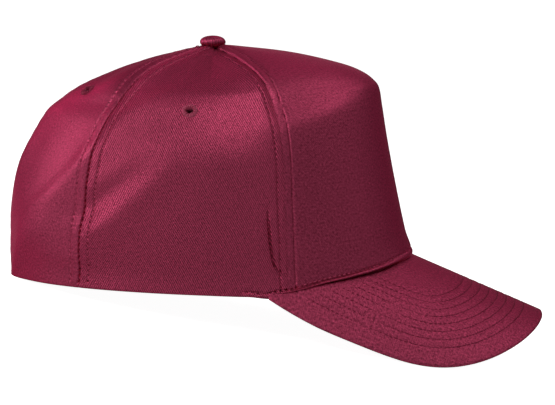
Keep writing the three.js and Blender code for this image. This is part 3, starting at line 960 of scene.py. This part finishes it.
def make_peak(material):
    edge, root = peak_outline(PEAK_COLUMNS), peak_root(PEAK_COLUMNS)
    share = 1 - (1 - np.linspace(0, 1, PEAK_INNER_ROWS)) ** PEAK_ROW_CROWDING
    flat = root[:, None] + (edge - root)[:, None] * share[None, :, None]
    inset, run = edge_inset(flat)
    top_depth, low_depth = peak_depths(flat, inset)
    ring = both_faces(peak_point(flat[..., 0], flat[..., 1], top_depth),
                      peak_point(flat[..., 0], flat[..., 1], low_depth))
    faces = tube_faces(numbered(*ring.shape[:2]))[:, ::-1]
    cloth = developed(both_faces(flat, flat).reshape(-1, 2))[faces] / UV_MILLIMETRES
    made = new_object("peak_cloth", to_row(ring.reshape(-1, 3)), faces, cloth)
    rows = np.stack([(inset - PEAK_ROW_INSET) / PEAK_ROW_SPACING, run / PEAK_STITCH_PITCH], -1)
    rows = both_faces(rows, rows).reshape(-1, 2)
    layer = made.data.uv_layers.new(name="rows")
    layer.data.foreach_set("uv", rows[faces].astype(np.float32).ravel())
    finish_piece(made, material, "peak")


def row_curve(inset):
    """One stitched row of the peak: the places at a set distance inside its edge."""
    way = unit(np.gradient(EDGE_LINE, axis=0))
    inward = np.stack([way[:, 1], -way[:, 0]], -1)
    inward *= np.sign((inward * -EDGE_LINE).sum(-1))[:, None]
    moved = EDGE_LINE + inward * inset
    nearest = np.array([np.sqrt(((EDGE_LINE - spot) ** 2).sum(-1)).min() for spot in moved])
    moved = moved[nearest > inset - 0.15]
    half_turn = (ARCH_HALF_WIDTH + ARCH_DEPTH) / 2
    across = ARCH_HALF_WIDTH * np.sin(moved[:, 1] / half_turn)
    return np.stack([moved[:, 0], across], -1)


def outside_crown(flat):
    at = peak_point(flat[:, 0], flat[:, 1])
    angle = np.arctan2(at[:, 1] / CROWN_HALF_WIDTH, at[:, 0] / CROWN_FRONT)
    foot = crown(angle, rim_up(angle))
    return np.hypot(at[:, 0], at[:, 1]) > np.hypot(foot[:, 0], foot[:, 1]) + 0.5


# Thickness, rise above the cloth and sink of the ends.
PEAK_STITCH_SHAPE = (0.2, 0.05, 0.25)


def peak_stitches():
    groups = []
    for row in range(PEAK_ROW_COUNT):
        curve = row_curve(PEAK_ROW_INSET + PEAK_ROW_SPACING * row)
        curve = curve[outside_crown(curve)]
        line = peak_point(curve[:, 0], curve[:, 1], 0.3)
        first, second = walk(line, PEAK_STITCH_PITCH, PEAK_STITCH_LENGTH)
        steps = np.arange(len(line))

        def at(place, lower):
            along = np.interp(place, steps, curve[:, 0])
            return peak_point(along, np.interp(place, steps, curve[:, 1]), row_depth(along) + lower)
        middle = (first + second) / 2
        normals = unit(at(middle, 0) - at(middle, 1))
        groups.append(stitch_mesh(at(first, 0), at(second, 0), normals, *PEAK_STITCH_SHAPE))
    return groups


# The button and the eyelets.

def make_button(material):
    """A domed button whose cloth is gathered under its rim."""
    turn = np.linspace(0, 2 * np.pi, 72, endpoint=False)
    points = []
    for height, share in BUTTON_OUTLINE:
        gather = 1 + 0.018 * np.cos(9 * turn) * (1 - share * 0.5) * (height < 1.5)
        reach = BUTTON_RADIUS * share * gather
        points.append(np.stack([reach * np.cos(turn), reach * np.sin(turn),
                                np.full(turn.shape, CROWN_HEIGHT + height)], -1))
    faces = tube_faces(numbered(len(points), len(turn)))
    points = np.concatenate(points)
    flat = points[:, :2]
    made = new_object("top_button_cloth", to_row(points), faces, flat[faces] / UV_MILLIMETRES)
    finish_piece(made, material, "top_button")


def make_eyelet(node, seam_from, seam_to, up, material):
    """A hole edged with close radial stitches of thread."""
    angle, up = panel_middle(seam_from, seam_to, np.array([up]))
    centre = cloth_point(angle, up)[0]
    normal = crown_normal(angle, up)[0]
    across = unit(crown_slopes(angle, up)[0])[0]
    rise = np.cross(normal, across)
    turn = np.linspace(0, 2 * np.pi, EYELET_LOBES * 8, endpoint=False)
    points = []
    for radius, height, shown in EYELET_OUTLINE:
        thread = 0.9 * shown * (np.abs(np.cos(EYELET_LOBES * turn / 2 + 0.4 * radius)) ** 0.8 - 0.6)
        uneven = 0.22 * shown * np.sin(5 * turn + 1.0)
        reach = radius * (1 + 0.02 * np.sin(3 * turn) + 0.03 * shown * np.cos(EYELET_LOBES * turn))
        flatness = height + thread + uneven
        squeeze = 0.72 if radius < EYELET_HOLE + 0.2 else 0.94
        points.append(centre + across * (reach * np.cos(turn))[:, None]
                      + rise * (squeeze * reach * np.sin(turn))[:, None] + normal * flatness[:, None])
    number = numbered(len(points), len(turn))
    number = np.concatenate([number, number[:1]], 0)
    points = to_row(np.concatenate(points))
    made = new_object(node + "_thread", points, grid_faces(closed_rows(number)))
    finish_piece(made, material, node)


# Materials.

TWILL_COLOUR = (0.355, 0.0435, 0.095)
THREAD_COLOUR = (0.46, 0.065, 0.135)
# A darker copy of the thread colour: painted shade, for stitches and eyelet threads that should read as
# lying in shade.
PAINTED_SHADE_THREAD_COLOUR = (0.2, 0.015, 0.042)
EYELET_COLOUR = (0.42, 0.07, 0.13)
SHEEN_TINT = (1.0, 0.25, 0.4, 1.0)
CLOTH_METALLIC = 0.85
CLOTH_ROUGHNESS = 0.42
TWILL_PITCH = 0.93
TWILL_LEAN = math.radians(58)


class Nodes:
    """Short calls for wiring a material."""

    def __init__(self, name):
        self.material = bpy.data.materials.new(name)
        self.material.use_nodes = True
        self.tree = self.material.node_tree
        self.tree.nodes.clear()

    def add(self, kind, **settings):
        made = self.tree.nodes.new(kind)
        for setting, value in settings.items():
            setattr(made, setting, value)
        return made

    def link(self, out, into):
        self.tree.links.new(out, into)

    def maths(self, operation, first, second=None, third=None):
        made = self.add("ShaderNodeMath", operation=operation)
        for socket, value in zip(made.inputs, (first, second, third)):
            if value is None:
                continue
            if isinstance(value, (int, float)):
                socket.default_value = value
            else:
                self.link(value, socket)
        return made.outputs[0]

    def noise(self, vector, scale, detail=3.0, roughness=0.5):
        made = self.add("ShaderNodeTexNoise")
        made.inputs["Scale"].default_value = scale
        made.inputs["Detail"].default_value = detail
        made.inputs["Roughness"].default_value = roughness
        self.link(vector, made.inputs["Vector"])
        return made.outputs["Fac"]

    def axes(self, uv_map):
        """The two numbers of a UV map, each by itself."""
        place = self.add("ShaderNodeUVMap", uv_map=uv_map)
        parts = self.add("ShaderNodeSeparateXYZ")
        self.link(place.outputs["UV"], parts.inputs[0])
        return parts.outputs["X"], parts.outputs["Y"]

    def tint(self, colour, tone):
        """A colour made lighter or darker by a tone."""
        made = self.add("ShaderNodeVectorMath", operation="SCALE")
        made.inputs[0].default_value = colour
        self.link(tone, made.inputs["Scale"])
        return made.outputs[0]

    def surface(self, settings):
        """The material's own shader, with plain values on its sockets."""
        shade = self.add("ShaderNodeBsdfPrincipled")
        for socket, value in settings.items():
            shade.inputs[socket].default_value = value
        out = self.add("ShaderNodeOutputMaterial")
        self.link(shade.outputs[0], out.inputs["Surface"])
        return shade


def row_shade(n):
    """Painted shade: 1 on the cloth, less in the needle holes and creases of the peak's stitched rows.
    """
    row, run = n.axes("rows")
    nearest = n.maths("PINGPONG", row, 0.5)
    crease = n.maths("SUBTRACT", 1.0, n.maths("DIVIDE", nearest, 0.42 / PEAK_ROW_SPACING))
    crease = n.maths("MINIMUM", n.maths("MAXIMUM", crease, 0.0), 0.5)
    inside = n.maths("COMPARE", row, (PEAK_ROW_COUNT - 1) / 2, PEAK_ROW_COUNT / 2 - 0.2)
    holes = n.maths("MULTIPLY_ADD", n.maths("COSINE", n.maths("MULTIPLY", run, 2 * math.pi)), 0.3, 0.7)
    from_root, _ = n.axes("cloth")
    shown = n.add("ShaderNodeMapRange")
    n.link(from_root, shown.inputs["Value"])
    for socket, value in (("From Min", -0.1), ("From Max", 0.3), ("To Min", 0.25), ("To Max", 1.3)):
        shown.inputs[socket].default_value = value
    shown = n.maths("MULTIPLY", inside, shown.outputs[0])
    return n.maths("SUBTRACT", 1.0, n.maths("MULTIPLY", n.maths("MULTIPLY", crease, holes), shown))


def cloth_material(name, lines, speckle, depth, fineness=0.95, rows=False):
    """Twill in real size: diagonal ribs across the cloth, uneven yarn and a soft coloured sheen.

    lines and speckle: strength of the ribs and of the grain; depth: of their bump, in millimetres.
    """
    n = Nodes(name)
    place = n.add("ShaderNodeUVMap", uv_map="cloth")
    size = n.add("ShaderNodeVectorMath", operation="SCALE")
    size.inputs["Scale"].default_value = UV_MILLIMETRES
    n.link(place.outputs["UV"], size.inputs[0])
    mm = size.outputs[0]
    lean = n.add("ShaderNodeVectorMath", operation="DOT_PRODUCT")
    n.link(mm, lean.inputs[0])
    rate = 2 * math.pi / TWILL_PITCH
    lean.inputs[1].default_value = (rate * math.sin(TWILL_LEAN), rate * math.cos(TWILL_LEAN), 0)
    wander = n.maths("MULTIPLY", n.noise(mm, 0.35, 2.0), 3.0)
    rib = n.maths("SINE", n.maths("ADD", lean.outputs["Value"], wander))
    rib = n.maths("MULTIPLY_ADD", rib, 0.5, 0.5)
    grain = n.noise(mm, fineness, 3.0, 0.7)
    patch = n.noise(mm, 0.16, 3.0, 0.55)
    tone = n.maths("MULTIPLY_ADD", rib, lines, 1 - lines / 2)
    tone = n.maths("ADD", tone, n.maths("MULTIPLY_ADD", grain, speckle, -speckle / 2))
    tone = n.maths("ADD", tone, n.maths("MULTIPLY_ADD", patch, 0.16, -0.08))
    # Painted shade in the creases and needle holes of the peak's stitched rows.
    if rows:
        tone = n.maths("MULTIPLY", tone, row_shade(n))
    shade = n.surface({"Metallic": CLOTH_METALLIC, "Roughness": CLOTH_ROUGHNESS,
                       "Specular IOR Level": 0.15, "Specular Tint": SHEEN_TINT})
    n.link(n.tint(TWILL_COLOUR, tone), shade.inputs["Base Color"])
    ribs = n.maths("MULTIPLY", rib, lines * 2.5)
    height = n.maths("ADD", ribs, n.maths("MULTIPLY", grain, speckle * 1.5))
    bump = n.add("ShaderNodeBump")
    bump.inputs["Strength"].default_value = 0.5
    bump.inputs["Distance"].default_value = depth * MM
    n.link(height, bump.inputs["Height"])
    n.link(bump.outputs[0], shade.inputs["Normal"])
    return n.material


def thread_material(name, colour):
    n = Nodes(name)
    place = n.add("ShaderNodeTexCoord")
    grain = n.noise(place.outputs["Object"], 900.0, 2.0)
    tone = n.maths("MULTIPLY_ADD", grain, 0.5, 0.75)
    shade = n.surface({"Metallic": 0.4, "Roughness": 0.5, "Specular IOR Level": 0.1})
    n.link(n.tint(colour, tone), shade.inputs["Base Color"])
    return n.material


def floor_material():
    """Pale matt floor; what the camera sees of it is lifted to the near white of a lit studio sweep."""
    n = Nodes("floor")
    shade = n.surface({"Base Color": FLOOR_COLOUR, "Roughness": 1.0, "Specular IOR Level": 0.0,
                       "Emission Color": WHITE})
    path = n.add("ShaderNodeLightPath")
    lift = n.maths("MULTIPLY", path.outputs["Is Camera Ray"], FLOOR_LIFT)
    n.link(lift, shade.inputs["Emission Strength"])
    return n.material


# Camera, light and floor. The camera's place is in the worn frame, in millimetres.

CAMERA_PLACE = (32.81, -1793.15, 193.90)
CAMERA_DIP = math.radians(5)
CAMERA_LENS = 229.5

WHITE = (1, 1, 1, 1)
FLOOR_COLOUR = (0.93, 0.93, 0.93, 1)
FLOOR_HALF_WIDTH = 60.0
FLOOR_LIFT = 0.97
ROOM_GLOW = 0.17
LIGHT_DISTANCE = 1.3
LIGHT_SIZE = 0.6
LIGHT_TARGET = Vector((0, 0, 0.06))
# (name, azimuth and elevation it shines from, power)
LIGHTS = (
    ("key", -130, 35, 5.1),
    ("high near side", -115, 50, 0.2),
    ("near side", -90, 40, 0.6),
    ("near front", -60, 50, 0.5),
    ("front", 0, 25, 0.4),
    ("front top", 0, 60, 1.5),
    ("far front", 30, 60, 1.0),
    ("behind far", 135, 20, 1.4),
    ("behind", 180, 15, 3.3),
    ("far side low", 90, 20, 0.3),
    ("far side", 90, 60, 0.8),
)


def make_camera():
    data = bpy.data.cameras.new("camera")
    data.sensor_width = 36.0
    data.lens = CAMERA_LENS
    data.clip_start = 0.05
    data.clip_end = 200
    made = into_scene(bpy.data.objects.new("camera", data))
    look = turn_to_row((0, math.cos(CAMERA_DIP), -math.sin(CAMERA_DIP)))
    upward = turn_to_row((0, math.sin(CAMERA_DIP), math.cos(CAMERA_DIP)))
    right = look.cross(upward)
    place = Vector(to_row(np.array(CAMERA_PLACE)))
    matrix = [[right[k], upward[k], -look[k], place[k]] for k in range(3)] + [[0, 0, 0, 1]]
    made.matrix_world = Matrix(matrix)
    bpy.context.scene.camera = made


def area_light(name, azimuth, elevation, power):
    """A soft box that looks at the cap from a direction given in the row frame, in degrees."""
    data = bpy.data.lights.new(name, "AREA")
    data.shape = "DISK"
    data.size = LIGHT_SIZE
    data.energy = power
    made = into_scene(bpy.data.objects.new(name, data))
    a, e = math.radians(azimuth), math.radians(elevation)
    back = Vector((math.cos(e) * math.cos(a), math.cos(e) * math.sin(a), math.sin(e)))
    made.location = LIGHT_TARGET + back * LIGHT_DISTANCE
    made.rotation_mode = "QUATERNION"
    made.rotation_quaternion = (-back).to_track_quat("-Z", "Y")


def make_stage():
    mesh = bpy.data.meshes.new("floor")
    half = FLOOR_HALF_WIDTH
    corners = [(-half, -half, 0), (half, -half, 0), (half, half, 0), (-half, half, 0)]
    mesh.from_pydata(corners, [], [(0, 1, 2, 3)])
    floor = into_scene(bpy.data.objects.new("floor", mesh))
    mesh.materials.append(floor_material())
    world = bpy.data.worlds.new("studio")
    world.use_nodes = True
    tree = world.node_tree
    background = tree.nodes["Background"]
    background.inputs["Color"].default_value = WHITE
    path = tree.nodes.new("ShaderNodeLightPath")
    lift = tree.nodes.new("ShaderNodeMath")
    lift.operation = "MULTIPLY_ADD"
    tree.links.new(path.outputs["Is Camera Ray"], lift.inputs[0])
    lift.inputs[1].default_value = FLOOR_LIFT
    lift.inputs[2].default_value = ROOM_GLOW
    tree.links.new(lift.outputs[0], background.inputs["Strength"])
    bpy.context.scene.world = world
    for light in LIGHTS:
        area_light(*light)


def build():
    twill = cloth_material("twill", lines=1.0, speckle=1.9, depth=0.2)
    soft = cloth_material("back twill", lines=0.2, speckle=2.4, depth=0.1)
    smooth = cloth_material("front twill", lines=0.3, speckle=2.7, depth=0.1)
    covered = cloth_material("peak twill", lines=0.2, speckle=3.0, depth=0.2, fineness=0.8, rows=True)
    thread = thread_material("thread", THREAD_COLOUR)
    # The thread again, darkened with painted shade, for the front seams, the back eyelets and the
    # peak's rows.
    painted_shade = thread_material("sunk thread", PAINTED_SHADE_THREAD_COLOUR)
    edging = thread_material("eyelet thread", EYELET_COLOUR)
    front_left, front_right, rear_left, rear_right, back_left, back_right = SEAMS
    # Names, the seams on both sides, the cloth, the eyelet's thread and its height share.
    panels = (
        ("side_%s_left", front_left, rear_left, twill, edging, SIDE_EYELET_UP),
        ("side_%s_right", rear_right, front_right, twill, edging, SIDE_EYELET_UP),
        ("back_%s_left", rear_left, back_left, soft, painted_shade, BACK_EYELET_UP),
        ("back_%s_right", back_right, rear_right, soft, painted_shade, BACK_EYELET_UP),
    )
    make_panel("front_panel", front_right, front_left, smooth)
    for name, seam_from, seam_to, cloth, _, eyelet_up in panels:
        make_panel(name % "panel", seam_from, seam_to, cloth, eyelet_up)
    for name, seam_from, seam_to, _, edge, eyelet_up in panels:
        make_eyelet(name % "eyelet", seam_from, seam_to, eyelet_up, edge)
    groups = []
    for seam in (rear_left, rear_right, back_left, back_right):
        groups += seam_stitches(seam, SEAM_STITCH_LIFT)
    join_stitches("seam_stitching", groups, thread)
    front_groups = seam_stitches(front_left, 0.0) + seam_stitches(front_right, 0.0)
    join_stitches("front_seam_stitching", front_groups, painted_shade)
    join_stitches("hem_stitching", hem_stitches(), thread)
    join_stitches("peak_stitching", peak_stitches(), painted_shade)
    make_peak(covered)
    make_button(smooth)


make_camera()
make_stage()
build()
bpy.context.scene.view_settings.view_transform = "Standard"
